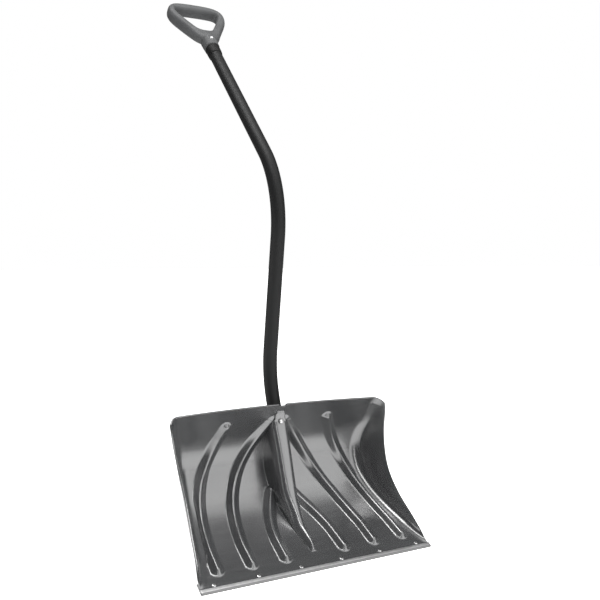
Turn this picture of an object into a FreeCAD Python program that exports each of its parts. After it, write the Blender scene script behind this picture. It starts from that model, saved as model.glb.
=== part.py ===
import FreeCAD, Part
import math
import os
from FreeCAD import Rotation, Vector

# A snow shovel standing on its cutting edge in its working attitude.
# X runs across the blade, the scoop opens towards -Y, +Z is up, and the origin is
# the middle of the cutting edge. The object is mirrored about the plane x = 0.
# Millimetres and degrees.

# Blade sheet: "s" is the distance up its front face from the fold of the wear strip.
BLADE_WIDTH = 455.0
BLADE_THICKNESS = 3.0
FOOT_SLOPE = 23.5            # rise of the foot of the blade above the horizontal
SHEET_RUNS = [               # length of each run up the face, and the angle it turns
    (100.0, 0.0),
    (45.0, 5.5),
    (45.0, 10.5),
    (45.0, 22.0),
    (45.0, 32.0),
    (45.0, 24.0),
    (65.0, 8.0),
]
TOP_CROWN = 8.0              # fall of the top lip from the middle to the sides
LIP_NOTCH_DEPTH = 5.0        # dip in the lip in front of the shaft
LIP_NOTCH_WIDTH = 44.0

# Side wings
WING_START = 11.0            # the wings rise above the wear strip
WING_ROOT = [(11, 218), (60, 213), (122, 204), (183, 195), (232, 192.5), (290, 198), (340, 212),
             (397, 222)]
WING_EDGE = [                # free edge of the right wing, from the foot to the top corner
    (0.0, Vector(227.5, 8.0, 8.0)),
    (0.2, Vector(219.5, 46.0, 47.0)),
    (0.4, Vector(213.5, 89.0, 87.0)),
    (0.6, Vector(212.0, 122.0, 131.0)),
    (0.8, Vector(218.0, 143.5, 188.0)),
    (1.0, Vector(227.5, 149.0, 253.0)),
]
WING_FILLET = 20.0           # reach of the round between sheet and wing
WING_FILLET_SHARE = 0.75     # largest share of a low wing that the round takes
CORNER_RADIUS = 27.0

# Ribs: three mirrored pairs, each a path of (s, x)
RIB_HEIGHT = 8.4
RIB_HALF_WIDTH = 12.2
RIBS = [
    [(38.5, 186), (95, 182.5), (175, 171), (235, 155), (290, 132), (347, 108.5)],
    [(38, 123), (95, 121), (175, 107), (235, 85), (290, 55), (352, 13)],
    [(37, 59), (95, 55.5), (140, 45), (200, 20)],
]

# Shaft socket: the keel on the front of the blade that covers the end of the shaft
KEEL_CREST = [               # (s of the sheet below it, crest y, crest z)
    (41, 35.3, 20.5),
    (53, 45.4, 33.5),
    (75, 63.6, 44.0),
    (103, 87.0, 57.5),
    (126, 101.5, 74.5),
    (165, 125.0, 104.5),
    (235, 152.4, 177.0),
    (320, 171.3, 227.0),
    (345, 170.3, 236.5),
    (365, 168.9, 246.0),
    (378, 167.2, 253.2),
]
KEEL_HALF_WIDTH = [(41, 5), (53, 9), (91, 13), (136, 16.5), (186, 19.5), (250, 20.7), (320, 20.5), (350, 17.5),
                   (366, 13), (378, 7)]
KEEL_FULLNESS = [(41, 2.0), (90, 2.0), (165, 3.0), (380, 3.0)]

# Wear strip and its rivets
STRIP_LENGTH = 457.2
STRIP_THICKNESS = 1.0
STRIP_PLAY = 0.2
STRIP_FRONT_LEG = 6.5
STRIP_BACK_LEG = 24.0
RIVET_PITCH = 80.9
RIVET_COUNT = 6
RIVET_S = 11.5
RIVET_SHANK = 4.8
RIVET_HEAD = 8.0
RIVET_HEAD_HEIGHT = 1.5
RIVET_TAIL = 6.8             # the tail flares into the strip and ends flush with it
RIVET_TAIL_DEPTH = 0.8

# Shaft: centre line in the plane x = 0, with a round bend at each corner
SHAFT_FOOT = Vector(0, 141.2, 94.3)
LOWER_CORNER = Vector(0, 223.0, 315.6)
UPPER_CORNER = Vector(0, 167.2, 679.9)
GRIP_AXIS_ANGLE = 43.8       # rise of the top run and the grip above the horizontal
SHAFT_TOP_REACH = 522.0      # top of the shaft, measured from the upper corner
BEND_RADIUS = 194.0
SHAFT_RADIUS = 13.9
CORE_RADIUS = 12.7
CORE_WALL = 1.2
FIT_GAP = 0.05
PLUG_LENGTH = 18.0
PLUG_FLANGE = 2.5

# Grip: local x across, y up the shaft axis from the foot of the neck, z out of its front
NECK_REACH = 478.0           # foot of the neck, measured from the upper corner
NECK_RADIUS = 17.3
NECK_LENGTH = 38.0
NECK_TIP_RADIUS = 11.0
NECK_TIP = 64.0
BORE_DEPTH = 46.0
GRIP_THICKNESS = 28.6
GRIP_SET_BACK = 2.0          # the loop's middle lies behind the shaft axis
GRIP_OUTLINE = [(19.0, 28.0, 9), (69.5, 126.0, 22), (63.0, 183.6, 28)]
GRIP_OPENING = [(15.0, 67.0, 9), (59.5, 158.4, 12)]
GRIP_EDGE_ROUND = 6.0
COLLAR_LENGTH = 29.0
COLLAR_RADIUS = 16.4
COLLAR_ROUND = 2.0

# Fasteners
GRIP_SCREW_Y = 22.0
GRIP_SCREW_HEAD = 7.4
GRIP_SCREW_HEAD_HEIGHT = 2.2
GRIP_SCREW_SHANK = 4.0
GRIP_SCREW_LENGTH = 16.0
BOLT_REACH = 99.3           # socket bolt, measured down the shaft from the lower corner
BOLT_HEAD = 8.0
BOLT_HEAD_HEIGHT = 2.4
BOLT_SHANK = 6.0
BOLT_SEAT = 20.2             # distance of the head's seat from the shaft axis
NUT_ACROSS_FLATS = 10.0
NUT_HEIGHT = 5.0
WASHER_RADIUS = 9.0
WASHER_THICKNESS = 1.5
HOLE_PLAY = 0.3

# Fineness of the blade surface
SPLINE_DEGREE = 3
ROWS = 60
KEEL_COLUMNS = 9
SHEET_COLUMNS = 30
FILLET_COLUMNS = 4
WING_COLUMNS = 5

FOLD_RADIUS = BLADE_THICKNESS / 2 + STRIP_PLAY + STRIP_THICKNESS
SHEET_TOP = sum(length for length, turn in SHEET_RUNS)
X_AXIS = Vector(1, 0, 0)


def smooth(value):
    """Ease from 0 to 1."""
    t = min(max(value, 0.0), 1.0)
    return t * t * (3 - 2 * t)


def between(stations, s):
    """Value at s of the smooth curve through (s, value) stations."""
    index = 0
    while index < len(stations) - 2 and s > stations[index + 1][0]:
        index += 1
    before = stations[max(index - 1, 0)]
    start = stations[index]
    end = stations[index + 1]
    after = stations[min(index + 2, len(stations) - 1)]
    span = end[0] - start[0]
    slope_start = (end[1] - start[1]) * (1.0 / span)
    slope_end = slope_start
    if before is not start:
        slope_start = (end[1] - before[1]) * (1.0 / (end[0] - before[0]))
    if after is not end:
        slope_end = (after[1] - start[1]) * (1.0 / (after[0] - start[0]))
    t = min(max((s - start[0]) / span, 0.0), 1.0)
    rise = t * t * (3 - 2 * t)
    leave = t * (1 - t) * (1 - t) * span
    arrive = t * t * (t - 1) * span
    return start[1] * (1 - rise) + end[1] * rise + slope_start * leave + slope_end * arrive


def sheet_point(s, offset):
    """Point of the sheet in the plane x = 0, at a distance out of its middle surface."""
    angle = math.radians(FOOT_SLOPE)
    y = 0.0
    z = FOLD_RADIUS
    left = s
    for length, turn in SHEET_RUNS:
        run = min(left, length)
        bend = math.radians(turn) * run / length
        if turn:
            radius = run / bend if bend else 0.0
            y += radius * (math.sin(angle + bend) - math.sin(angle))
            z += radius * (math.cos(angle) - math.cos(angle + bend))
        else:
            y += run * math.cos(angle)
            z += run * math.sin(angle)
        angle += bend
        left -= run
        if left <= 0:
            break
    return Vector(0, y - offset * math.sin(angle), z + offset * math.cos(angle))


def sheet_normal(s):
    """Unit vector out of the front of the sheet."""
    return sheet_point(s, 1) - sheet_point(s, 0)


def front_point(x, s):
    """Point of the plain front face, before ribs and keel."""
    point = sheet_point(s, BLADE_THICKNESS / 2)
    return Vector(x, point.y, point.z)


def lip_s(x):
    """Height of the top lip at x, as a distance up the sheet."""
    notch = LIP_NOTCH_DEPTH * (1 - smooth(2 * abs(x) / LIP_NOTCH_WIDTH))
    side = abs(x) * 2 / BLADE_WIDTH
    return SHEET_TOP - TOP_CROWN * side * side - notch


def rib_lift(x, s):
    """Height of the ribs above the plain face."""
    lift = 0.0
    for path in RIBS:
        foot = path[0][0]
        head = path[-1][0]
        inside = min(max(s, foot), head)
        centre = between(path, inside)
        lean = (between(path, inside + 1) - between(path, inside - 1)) / 2
        across = (x - centre) / math.hypot(1, lean)
        away = math.hypot(across, s - inside) / RIB_HALF_WIDTH
        if away < 1:
            lift = max(lift, RIB_HEIGHT * (1 + math.cos(math.pi * away)) / 2)
    return lift


def keel_point(share, s):
    """Point of the keel: share 0 is the crest and share 1 is the base line."""
    power = 2 / between(KEEL_FULLNESS, s)
    turn = math.pi / 2 * (1 - share) ** 1.5
    x = between(KEEL_HALF_WIDTH, s) * max(math.cos(turn), 0.0) ** power
    base = front_point(x, s)
    base += sheet_normal(s) * rib_lift(x, s) * share
    inside = min(max(s, KEEL_CREST[0][0]), KEEL_CREST[-1][0])
    if inside != s:
        return base
    crest_y = between([(row[0], row[1]) for row in KEEL_CREST], s)
    crest_z = between([(row[0], row[2]) for row in KEEL_CREST], s)
    plain = front_point(x, s)
    rise = Vector(0, crest_y - plain.y, crest_z - plain.z)
    if rise.dot(sheet_normal(s)) <= 0:
        return base
    return base + rise * math.sin(turn) ** power


def sheet_face_point(share, s):
    """Point of the ribbed sheet: share 0 is the keel's base, share 1 the wing's round."""
    inner = between(KEEL_HALF_WIDTH, s)
    outer = between(WING_ROOT, s) - wing_round(s)
    x = inner + (outer - inner) * share
    return front_point(x, s) + sheet_normal(s) * rib_lift(x, s)


def wing_edge_point(s):
    """Free edge of the right wing beside the sheet's height s."""
    share = (s - WING_START) / (SHEET_TOP - WING_START)
    if share <= 0:
        return front_point(WING_EDGE[0][1].x, s)
    return between(WING_EDGE, share)


def wing_round(s):
    """Reach of the round at the wing's root, small where the wing is low."""
    depth = (wing_edge_point(s) - front_point(between(WING_ROOT, s), s)).Length
    return min(WING_FILLET, depth * WING_FILLET_SHARE)


def fillet_point(share, s):
    """Round between sheet (share 0) and wing (share 1)."""
    corner = front_point(between(WING_ROOT, s), s)
    reach = wing_round(s)
    up_wing = (wing_edge_point(s) - corner).normalize() * reach
    start = corner - X_AXIS * reach
    end = corner + up_wing
    return start * (1 - share) ** 2 + corner * 2 * share * (1 - share) + end * share ** 2


def wing_point(share, s):
    """Side wing from its round (share 0) to its free edge (share 1)."""
    start = fillet_point(1, s)
    return start + (wing_edge_point(s) - start) * share


def corner_drop(share):
    """Fall of the wing's top along its rounded corner."""
    return CORNER_RADIUS * (1 - math.sqrt(max(1 - share * share, 0.0)))


def blade_column(kind, share):
    """Points up one column of the right half of the blade's front."""
    column = []
    for row in range(ROWS + 1):
        if kind is keel_point:
            top = lip_s(10 * share)
        elif kind is sheet_face_point:
            top = lip_s(20 + 180 * share)
        elif kind is fillet_point:
            top = lip_s(200 + 15 * share)
        else:
            top = lip_s(215) - corner_drop(share)
        column.append(kind(share, top * row / ROWS))
    return column


def blade_grid():
    """Front face of the whole blade as columns from the left free edge to the right one."""
    half = [blade_column(keel_point, k / KEEL_COLUMNS) for k in range(KEEL_COLUMNS + 1)]
    half += [blade_column(sheet_face_point, k / SHEET_COLUMNS) for k in range(1, SHEET_COLUMNS + 1)]
    half += [blade_column(fillet_point, k / FILLET_COLUMNS) for k in range(1, FILLET_COLUMNS + 1)]
    half += [blade_column(wing_point, k / WING_COLUMNS) for k in range(1, WING_COLUMNS + 1)]
    mirrored = [[Vector(-p.x, p.y, p.z) for p in column] for column in half[:0:-1]]
    return mirrored + half


def moved_back(grid, distance):
    """The same grid, moved out of its back by the distance."""
    columns = len(grid)
    rows = len(grid[0])
    result = []
    for i in range(columns):
        column = []
        for j in range(rows):
            across = grid[min(i + 1, columns - 1)][j] - grid[max(i - 1, 0)][j]
            upward = grid[i][min(j + 1, rows - 1)] - grid[i][max(j - 1, 0)]
            column.append(grid[i][j] + upward.cross(across).normalize() * distance)
        result.append(column)
    return result


def clamped_knots(count):
    """Multiplicities and knots of a cubic spline with this many control points."""
    inner = count - SPLINE_DEGREE - 1
    ends = SPLINE_DEGREE + 1
    return [ends] + [1] * inner + [ends], [float(k) for k in range(inner + 2)]


def grid_surface(grid):
    """Smooth surface with the grid as its control points."""
    mults_across, knots_across = clamped_knots(len(grid))
    mults_up, knots_up = clamped_knots(len(grid[0]))
    surface = Part.BSplineSurface()
    surface.buildFromPolesMultsKnots(
        grid, mults_across, mults_up, knots_across, knots_up,
        False, False, SPLINE_DEGREE, SPLINE_DEGREE,
    )
    return surface


def rim_faces(front, back):
    """Narrow faces along the four borders of the blade, from its front to its back."""
    u_first, u_last, v_first, v_last = front.bounds()
    pairs = [(front.uIso(u), back.uIso(u)) for u in (u_first, u_last)]
    pairs += [(front.vIso(v), back.vIso(v)) for v in (v_first, v_last)]
    return [Part.makeRuledSurface(near.toShape(), far.toShape()) for near, far in pairs]


def at_foot(x, s, offset):
    """Point near the foot of the blade, at a distance out of the sheet's middle."""
    point = sheet_point(s, offset)
    return Vector(x, point.y, point.z)


def rivet_places():
    """Distances across the blade of the rivets."""
    return [RIVET_PITCH * (k - (RIVET_COUNT - 1) / 2) for k in range(RIVET_COUNT)]


def up_shaft(reach):
    """Point of the top run's centre line, measured from the upper corner."""
    rise = math.radians(GRIP_AXIS_ANGLE)
    return UPPER_CORNER + Vector(0, math.cos(rise), math.sin(rise)) * reach


def socket_axis():
    """Unit vector down the lowest run of the shaft."""
    return (SHAFT_FOOT - LOWER_CORNER).normalize()


def socket_front():
    """Unit vector out of the front of the socket, square to the shaft."""
    down = socket_axis()
    return Vector(0, down.z, -down.y)


def bolt_centre():
    """Point of the shaft's axis that the socket bolt crosses."""
    return LOWER_CORNER + socket_axis() * BOLT_REACH


def blade():
    """One moulding: ribbed sheet, side wings and shaft socket, drilled for its fasteners."""
    grid = blade_grid()
    front = grid_surface(grid)
    back = grid_surface(moved_back(grid, BLADE_THICKNESS))
    shell = Part.Compound([front.toShape(), back.toShape()] + rim_faces(front, back))
    shell.sewShape(0.01)
    solid = Part.Solid(shell.Shells[0])
    drills = []
    for x in rivet_places():
        drills.append(rod(at_foot(x, RIVET_S, 0), sheet_normal(RIVET_S), RIVET_SHANK / 2 + HOLE_PLAY / 2, 10))
    bolt_radius = (BOLT_SHANK + HOLE_PLAY) / 2
    drills.append(rod(bolt_centre() + socket_front() * BOLT_SEAT, socket_front(), bolt_radius, 12))
    return solid.cut(drills)


def rod(centre, axis, radius, length):
    """Cylinder centred on a point."""
    return Part.makeCylinder(radius, length, centre - axis * (length / 2), axis)


def wear_strip():
    """Steel strip folded over the foot of the blade, its long leg behind."""
    inner = FOLD_RADIUS - STRIP_THICKNESS
    middle_radius = FOLD_RADIUS - STRIP_THICKNESS / 2
    x = -STRIP_LENGTH / 2

    def line(start, end):
        return Part.LineSegment(at_foot(x, *start), at_foot(x, *end)).toShape()

    def fold(radius):
        return Part.Arc(at_foot(x, 0, radius), at_foot(x, -radius, 0), at_foot(x, 0, -radius)).toShape()

    edges = [
        line((0, FOLD_RADIUS), (STRIP_FRONT_LEG, FOLD_RADIUS)),
        line((STRIP_FRONT_LEG, FOLD_RADIUS), (STRIP_FRONT_LEG, inner)),
        line((STRIP_FRONT_LEG, inner), (0, inner)),
        fold(inner),
        line((0, -inner), (STRIP_BACK_LEG, -inner)),
        line((STRIP_BACK_LEG, -inner), (STRIP_BACK_LEG, -FOLD_RADIUS)),
        line((STRIP_BACK_LEG, -FOLD_RADIUS), (0, -FOLD_RADIUS)),
        fold(FOLD_RADIUS),
    ]
    section = Part.Face(Part.Wire(Part.__sortEdges__(edges)))
    solid = section.extrude(X_AXIS * STRIP_LENGTH)
    drills = []
    for place in rivet_places():
        centre = at_foot(place, RIVET_S, -middle_radius)
        drills.append(rod(centre, sheet_normal(RIVET_S), RIVET_SHANK / 2 + HOLE_PLAY / 2, 2 * STRIP_THICKNESS))
        drills.append(rivet_tail(place, HOLE_PLAY / 2))
    return solid.cut(drills)


def rivet_tail(x, play):
    """Flaring end of a rivet in the back leg of the strip, flush with the strip."""
    foot = at_foot(x, RIVET_S, -FOLD_RADIUS)
    return Part.makeCone(
        RIVET_TAIL / 2 + play, RIVET_SHANK / 2 + play, RIVET_TAIL_DEPTH, foot, sheet_normal(RIVET_S),
    )


def dome(base, axis, radius, height):
    """Low domed head standing on its base point."""
    ball = (radius * radius + height * height) / (2 * height)
    sphere = Part.makeSphere(ball, base + axis * (height - ball))
    return sphere.common(Part.makeCylinder(radius * 1.01, height * 1.5, base, axis))


def wear_strip_rivets():
    """Six rivets through the blade and the strip's back leg, domed in front and flush behind."""
    axis = sheet_normal(RIVET_S)
    seat = BLADE_THICKNESS / 2 + FIT_GAP
    rivets = []
    for x in rivet_places():
        head = dome(at_foot(x, RIVET_S, seat), axis, RIVET_HEAD / 2, RIVET_HEAD_HEIGHT)
        shank = Part.makeCylinder(RIVET_SHANK / 2, seat + FOLD_RADIUS, at_foot(x, RIVET_S, -FOLD_RADIUS), axis)
        rivets.append(head.fuse([shank, rivet_tail(x, 0)]).removeSplitter())
    return Part.Compound(rivets)


def corner_arc(before, corner, after, radius):
    """Arc of this radius that rounds a corner, with its two ends."""
    back_along = (before - corner).normalize()
    ahead = (after - corner).normalize()
    half_turn = (math.pi - back_along.getAngle(ahead)) / 2
    reach = radius * math.tan(half_turn)
    start = corner + back_along * reach
    end = corner + ahead * reach
    inward = (back_along + ahead).normalize()
    middle = corner + inward * (radius / math.cos(half_turn) - radius)
    return Part.Arc(start, middle, end).toShape(), start, end


def shaft_path(start, end):
    """Centre line of the shaft: three straight runs joined by two round bends."""
    lower, lower_start, lower_end = corner_arc(start, LOWER_CORNER, UPPER_CORNER, BEND_RADIUS)
    upper, upper_start, upper_end = corner_arc(LOWER_CORNER, UPPER_CORNER, end, BEND_RADIUS)
    return Part.Wire([
        Part.LineSegment(start, lower_start).toShape(),
        lower,
        Part.LineSegment(lower_end, upper_start).toShape(),
        upper,
        Part.LineSegment(upper_end, end).toShape(),
    ])


def bent_rod(start, end, radius):
    """Round rod along the shaft's centre line."""
    axis = (LOWER_CORNER - start).normalize()
    ring = Part.Wire(Part.Circle(start, axis, radius).toShape())
    return shaft_path(start, end).makePipeShell([ring], True, False)


def shaft_sleeve():
    """Plastic sleeve moulded over the core tube, drilled for its fasteners."""
    end = up_shaft(SHAFT_TOP_REACH)
    body = bent_rod(SHAFT_FOOT, end, SHAFT_RADIUS)
    solid = body.cut(bent_rod(SHAFT_FOOT, end, CORE_RADIUS + FIT_GAP))
    return solid.cut(shaft_drills())


def shaft_core():
    """Steel tube inside the sleeve."""
    end = up_shaft(SHAFT_TOP_REACH)
    body = bent_rod(SHAFT_FOOT, end, CORE_RADIUS)
    solid = body.cut(bent_rod(SHAFT_FOOT, end, CORE_RADIUS - CORE_WALL))
    return solid.cut(shaft_drills())


def shaft_drills():
    """Holes for the socket bolt, right through, and the grip screw, in the front wall."""
    bolt_hole = rod(bolt_centre(), socket_front(), (BOLT_SHANK + HOLE_PLAY) / 2, 4 * SHAFT_RADIUS)
    screw_hole = in_grip_frame(Part.makeCylinder(
        (GRIP_SCREW_SHANK + HOLE_PLAY) / 2, 2 * NECK_RADIUS, Vector(0, GRIP_SCREW_Y, 0), Vector(0, 0, 1),
    ))
    return [bolt_hole, screw_hole]


def shaft_end_plug():
    """Plastic plug that closes the foot of the shaft."""
    up = socket_axis() * -1
    bore = CORE_RADIUS - CORE_WALL - FIT_GAP
    stem = Part.makeCylinder(bore, PLUG_LENGTH, SHAFT_FOOT, up)
    flange = Part.makeCylinder(CORE_RADIUS, PLUG_FLANGE, SHAFT_FOOT - up * PLUG_FLANGE, up)
    return stem.fuse(flange).removeSplitter()


def in_grip_frame(shape):
    """Move a shape drawn in the grip's own frame to its place on the shaft."""
    turned = shape.copy()
    turned.Placement = FreeCAD.Placement(up_shaft(NECK_REACH), Rotation(X_AXIS, GRIP_AXIS_ANGLE))
    return turned


def rounded_prism(corners, depth):
    """Prism on a mirrored outline of (x, y, corner radius), centred on z = 0."""
    loop = [(Vector(x, y, -depth / 2), radius) for x, y, radius in corners]
    loop += [(Vector(-x, y, -depth / 2), radius) for x, y, radius in reversed(corners)]
    edges = []
    joints = []
    for k, (corner, radius) in enumerate(loop):
        before = loop[k - 1][0]
        after = loop[(k + 1) % len(loop)][0]
        arc, start, end = corner_arc(before, corner, after, radius)
        edges.append(arc)
        joints.append((start, end))
    for k, (start, end) in enumerate(joints):
        edges.append(Part.LineSegment(joints[k - 1][1], start).toShape())
    outline = Part.Wire(Part.__sortEdges__(edges))
    return Part.Face(outline).extrude(Vector(0, 0, depth))


def d_grip():
    """One moulding: cross bar, two arms and a neck bored for the shaft."""
    frame = rounded_prism(GRIP_OUTLINE, GRIP_THICKNESS)
    frame = frame.cut(rounded_prism(GRIP_OPENING, GRIP_THICKNESS * 2))
    rims = [edge for edge in frame.Edges if edge.BoundBox.ZLength < FIT_GAP]
    frame = frame.makeFillet(GRIP_EDGE_ROUND, rims)
    frame.translate(Vector(0, 0, -GRIP_SET_BACK))
    up = Vector(0, 1, 0)
    neck = Part.makeCylinder(NECK_RADIUS, NECK_LENGTH, Vector(0, 0, 0), up)
    tip = Part.makeCone(NECK_RADIUS, NECK_TIP_RADIUS, NECK_TIP - NECK_LENGTH, Vector(0, NECK_LENGTH, 0), up)
    solid = frame.fuse([neck, tip]).removeSplitter()
    bore = Part.makeCylinder(SHAFT_RADIUS + FIT_GAP, BORE_DEPTH, Vector(0, 0, 0), up)
    screw_hole = Part.makeCylinder(
        (GRIP_SCREW_SHANK + HOLE_PLAY) / 2, 2 * NECK_RADIUS, Vector(0, GRIP_SCREW_Y, 0), Vector(0, 0, 1),
    )
    return in_grip_frame(solid.cut([bore, screw_hole]))


def grip_collar():
    """Ring round the shaft under the neck of the grip."""
    up = Vector(0, 1, 0)
    foot = Vector(0, -COLLAR_LENGTH, 0)
    ring = Part.makeCylinder(COLLAR_RADIUS, COLLAR_LENGTH, foot, up)
    edges = [edge for edge in ring.Edges if len(edge.Vertexes) == 1]
    ring = ring.makeFillet(COLLAR_ROUND, edges)
    return in_grip_frame(ring.cut(Part.makeCylinder(SHAFT_RADIUS + FIT_GAP, COLLAR_LENGTH, foot, up)))


def grip_screw():
    """Screw through the front of the neck into the shaft."""
    out = Vector(0, 0, 1)
    seat = Vector(0, GRIP_SCREW_Y, NECK_RADIUS)
    head = dome(seat, out, GRIP_SCREW_HEAD / 2, GRIP_SCREW_HEAD_HEIGHT)
    sunk = Part.makeCylinder(GRIP_SCREW_SHANK / 2, GRIP_SCREW_LENGTH, seat - out * GRIP_SCREW_LENGTH, out)
    return in_grip_frame(head.fuse(sunk).removeSplitter())


def socket_bolt():
    """Bolt through the crest of the socket and the shaft."""
    out = socket_front()
    seat = bolt_centre() + out * BOLT_SEAT
    length = BOLT_SEAT + SHAFT_RADIUS + WASHER_THICKNESS + NUT_HEIGHT
    head = dome(seat, out, BOLT_HEAD / 2, BOLT_HEAD_HEIGHT)
    shank = Part.makeCylinder(BOLT_SHANK / 2, length, seat - out * length, out)
    return head.fuse(shank).removeSplitter()


def socket_washer():
    """Washer between the back of the shaft and the nut."""
    back = socket_front() * -1
    seat = bolt_centre() + back * SHAFT_RADIUS
    disc = Part.makeCylinder(WASHER_RADIUS, WASHER_THICKNESS, seat, back)
    return disc.cut(rod(seat, back, BOLT_SHANK / 2 + FIT_GAP, 4 * WASHER_THICKNESS))


def socket_nut():
    """Hexagon nut on the back of the socket bolt."""
    back = socket_front() * -1
    seat = bolt_centre() + back * (SHAFT_RADIUS + WASHER_THICKNESS)
    corner = NUT_ACROSS_FLATS / math.sqrt(3)
    side = X_AXIS.cross(back)
    points = []
    for k in range(7):
        turn = math.radians(60 * k)
        points.append(seat + X_AXIS * (corner * math.cos(turn)) + side * (corner * math.sin(turn)))
    prism = Part.Face(Part.makePolygon(points)).extrude(back * NUT_HEIGHT)
    return prism.cut(rod(seat, back, BOLT_SHANK / 2 + FIT_GAP, 4 * NUT_HEIGHT))


NODES = {
    "blade": blade,
    "wear_strip": wear_strip,
    "wear_strip_rivets": wear_strip_rivets,
    "shaft_sleeve": shaft_sleeve,
    "shaft_core": shaft_core,
    "shaft_end_plug": shaft_end_plug,
    "d_grip": d_grip,
    "grip_collar": grip_collar,
    "grip_screw": grip_screw,
    "socket_bolt": socket_bolt,
    "socket_washer": socket_washer,
    "socket_nut": socket_nut,
}

os.makedirs("parts", exist_ok=True)
for name, make in NODES.items():
    shape = make()
    shape.exportStep(f"parts/{name}.step")
    print(f"{name}: valid {shape.isValid()}, solids {len(shape.Solids)}, volume {shape.Volume:.0f}")
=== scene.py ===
import math

import bmesh
import bpy
import numpy as np
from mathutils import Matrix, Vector


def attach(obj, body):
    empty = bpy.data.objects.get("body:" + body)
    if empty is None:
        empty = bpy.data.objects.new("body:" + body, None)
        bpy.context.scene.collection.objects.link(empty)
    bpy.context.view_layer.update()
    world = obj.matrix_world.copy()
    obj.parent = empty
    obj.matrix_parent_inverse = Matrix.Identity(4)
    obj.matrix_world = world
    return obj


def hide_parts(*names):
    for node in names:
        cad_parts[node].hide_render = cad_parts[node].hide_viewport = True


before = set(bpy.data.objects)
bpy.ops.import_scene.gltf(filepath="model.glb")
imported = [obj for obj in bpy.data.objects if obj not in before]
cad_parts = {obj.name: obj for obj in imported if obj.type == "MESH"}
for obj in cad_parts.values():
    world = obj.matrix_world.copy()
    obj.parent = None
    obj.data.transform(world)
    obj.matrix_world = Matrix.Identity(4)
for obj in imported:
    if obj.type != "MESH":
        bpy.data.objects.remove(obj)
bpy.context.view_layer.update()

# Sizes are in millimetres and degrees, in the CAD model's frame: X across the blade, the scoop
# opens towards -Y, +Z up, the origin in the middle of the cutting edge.
MM = 0.001
SHARP_ANGLE = 50.0           # edges sharper than this are rounded

# Blade sheet: "s" is the distance up the middle of its thickness, from the axis of the strip's fold.
BLADE_WIDTH = 455.0
BLADE_THICKNESS = 3.0
FOOT_SLOPE = 23.5
SHEET_RUNS = [               # (length, turn) of the runs that make up the sheet's section
    (100.0, 0.0),
    (45.0, 5.5),
    (45.0, 10.5),
    (45.0, 22.0),
    (45.0, 32.0),
    (45.0, 24.0),
    (65.0, 8.0),
]
TOP_CROWN = 8.0              # fall of the lip from its middle to its ends
LIP_NOTCH_DEPTH = 5.0
LIP_NOTCH_WIDTH = 44.0
RIM_ROUND = 0.9              # radius of the blade's rims

# Side wings
WING_START = 11.0
WING_ROOT = [                # (s, x) of the corner between sheet and wing
    (11, 218),
    (60, 213),
    (122, 204),
    (183, 195),
    (232, 192.5),
    (290, 198),
    (340, 212),
    (397, 222),
]
WING_EDGE = [                # share of the way up the wing, and the point of its free edge there
    (0.0, (227.5, 8.0, 8.0)),
    (0.2, (219.5, 46.0, 47.0)),
    (0.4, (213.5, 89.0, 87.0)),
    (0.6, (212.0, 122.0, 131.0)),
    (0.8, (218.0, 143.5, 188.0)),
    (1.0, (227.5, 149.0, 253.0)),
]
WING_FILLET = 20.0
WING_FILLET_SHARE = 0.75     # of the wing's depth, where that is less
CORNER_RADIUS = 27.0

# Ribs: three mirrored pairs, each a path of (s, x)
RIB_HEIGHT = 8.4
RIB_HALF_WIDTH = 12.2
RIB_CREST_ROUND = 0.3        # share of the half width that is round at the crest
RIB_BASE_ROUND = 0.13
RIB_HEAD_SHARES = [1.0, 0.5, 1.0]    # share of each rib's height that is left at its head
RIB_FADE = 60.0              # length over which it falls to that share
RIBS = [
    [(38.5, 186), (95, 182.5), (175, 171), (235, 155), (290, 132), (347, 108.5)],
    [(38, 123), (95, 121), (175, 107), (235, 85), (290, 55), (352, 13)],
    [(37, 59), (95, 55.5), (140, 45), (200, 20)],
]

# Shaft socket: the keel on the front of the blade that covers the end of the shaft
KEEL_CREST = [               # (s of the sheet below it, crest y, crest z)
    (41, 35.3, 20.5),
    (53, 45.4, 33.5),
    (75, 63.6, 44.0),
    (103, 87.0, 57.5),
    (126, 101.5, 74.5),
    (165, 125.0, 104.5),
    (235, 152.4, 177.0),
    (320, 171.3, 227.0),
    (345, 170.3, 236.5),
    (362, 169.4, 244.2),
    (373, 169.8, 249.2),
]
KEEL_HALF_WIDTH = [          # (s, half width)
    (41, 5),
    (53, 9),
    (91, 13),
    (136, 16.5),
    (186, 19.5),
    (250, 20.7),
    (320, 19),
    (346, 12.5),
    (364, 10),
    (373, 6.5),
]
KEEL_FULLNESS = [            # (s, power of the section's outline: 2 is round, more is squarer)
    (41, 1.3),
    (90, 1.5),
    (140, 2.2),
    (175, 3.0),
    (260, 3.8),
    (380, 3.4),
]
KEEL_CROWDING = 1.5          # gathers the columns of points at the keel's base

# Columns and rows of points over the right half of the blade
ROWS = 236
KEEL_COLUMNS = 30
SHEET_COLUMNS = 110
FILLET_COLUMNS = 14
WING_COLUMNS = 26
KEEL_LIP_X = 10              # x by which the lip's height is read for the keel's last column,
SHEET_LIP_START = 20         # for the sheet from its first column
SHEET_LIP_END = 200          # to its last,
WING_LIP_X = 215             # and for the wing

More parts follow.
